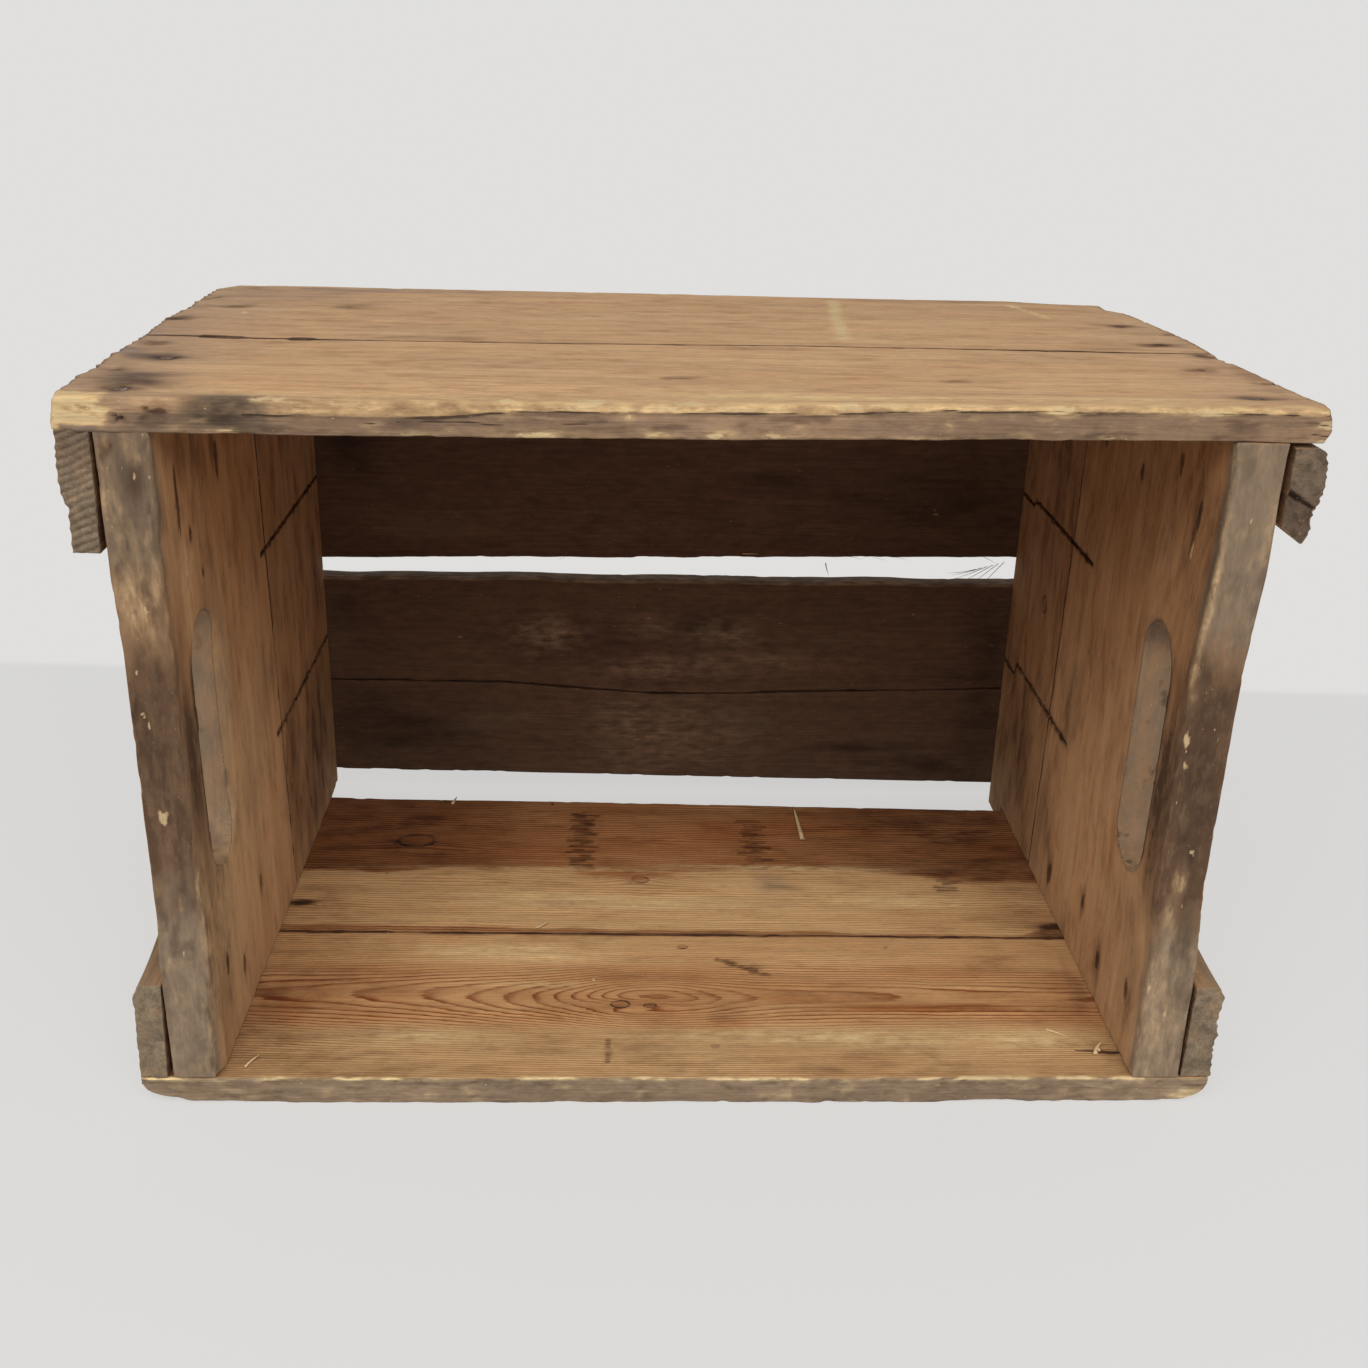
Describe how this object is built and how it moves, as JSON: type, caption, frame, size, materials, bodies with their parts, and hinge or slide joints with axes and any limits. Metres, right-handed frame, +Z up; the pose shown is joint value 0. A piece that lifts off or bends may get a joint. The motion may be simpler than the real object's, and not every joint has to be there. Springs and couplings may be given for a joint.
{
  "type": "wooden bottle crate",
  "caption": "Open nailed softwood crate lying on its long side, with hand holes in its thick ends, a slatted base, corner cleats and saw kerfs for bottle dividers.",
  "frame": {"origin": "on the resting surface, under the middle of the crate as it lies on its lower long side", "axes": "+X along the crate from the left end to the right end, -Y out of its open top, +Y out of its slatted base, +Z up through the two long sides"},
  "size_m": [0.463, 0.2962, 0.3081],
  "materials": {
    "side_wood": "old sawn pine, orange-brown, worn and stained round the nails",
    "end_wood": "thick old pine, mid-brown inside, weathered grey on its edges",
    "slat_wood": "rough sawn slats, very dark brown",
    "cleat_wood": "weathered grey-brown cleats with rough ends",
    "nail_steel": "rusted wire nails"
  },
  "bodies": {
    "root": {"upper_side_rim_board": "side_wood", "upper_side_base_board": "side_wood", "lower_side_rim_board": "side_wood", "lower_side_base_board": "side_wood", "left_end_rim_board": "end_wood", "left_end_base_board": "end_wood", "right_end_rim_board": "end_wood", "right_end_base_board": "end_wood", "base_slat_upper": "slat_wood", "base_slat_middle": "slat_wood", "base_slat_lower": "slat_wood", "upper_left_cleat": "cleat_wood", "upper_right_cleat": "cleat_wood", "lower_left_cleat": "cleat_wood", "lower_right_cleat": "cleat_wood", "nail_upper_side_rim_left_1": "nail_steel", "nail_upper_side_rim_left_2": "nail_steel", "nail_upper_side_rim_left_cleat": "nail_steel", "nail_upper_side_rim_right_1": "nail_steel", "nail_upper_side_rim_right_2": "nail_steel", "nail_upper_side_rim_right_cleat": "nail_steel", "nail_upper_side_base_left_1": "nail_steel", "nail_upper_side_base_left_2": "nail_steel", "nail_upper_side_base_left_cleat": "nail_steel", "nail_upper_side_base_right_1": "nail_steel", "nail_upper_side_base_right_2": "nail_steel", "nail_upper_side_base_right_cleat": "nail_steel", "nail_lower_side_rim_left_1": "nail_steel", "nail_lower_side_rim_left_2": "nail_steel", "nail_lower_side_rim_left_cleat": "nail_steel", "nail_lower_side_rim_right_1": "nail_steel", "nail_lower_side_rim_right_2": "nail_steel", "nail_lower_side_rim_right_cleat": "nail_steel", "nail_lower_side_base_left_1": "nail_steel", "nail_lower_side_base_left_2": "nail_steel", "nail_lower_side_base_left_cleat": "nail_steel", "nail_lower_side_base_right_1": "nail_steel", "nail_lower_side_base_right_2": "nail_steel", "nail_lower_side_base_right_cleat": "nail_steel", "nail_base_upper_left_1": "nail_steel", "nail_base_upper_left_2": "nail_steel", "nail_base_upper_right_1": "nail_steel", "nail_base_upper_right_2": "nail_steel", "nail_base_middle_left_1": "nail_steel", "nail_base_middle_left_2": "nail_steel", "nail_base_middle_right_1": "nail_steel", "nail_base_middle_right_2": "nail_steel", "nail_base_lower_left_1": "nail_steel", "nail_base_lower_left_2": "nail_steel", "nail_base_lower_right_1": "nail_steel", "nail_base_lower_right_2": "nail_steel", "nail_upper_left_cleat_1": "nail_steel", "nail_upper_left_cleat_2": "nail_steel", "nail_upper_right_cleat_1": "nail_steel", "nail_upper_right_cleat_2": "nail_steel", "nail_lower_left_cleat_1": "nail_steel", "nail_lower_left_cleat_2": "nail_steel", "nail_lower_right_cleat_1": "nail_steel", "nail_lower_right_cleat_2": "nail_steel"}
  },
  "joints": []
}
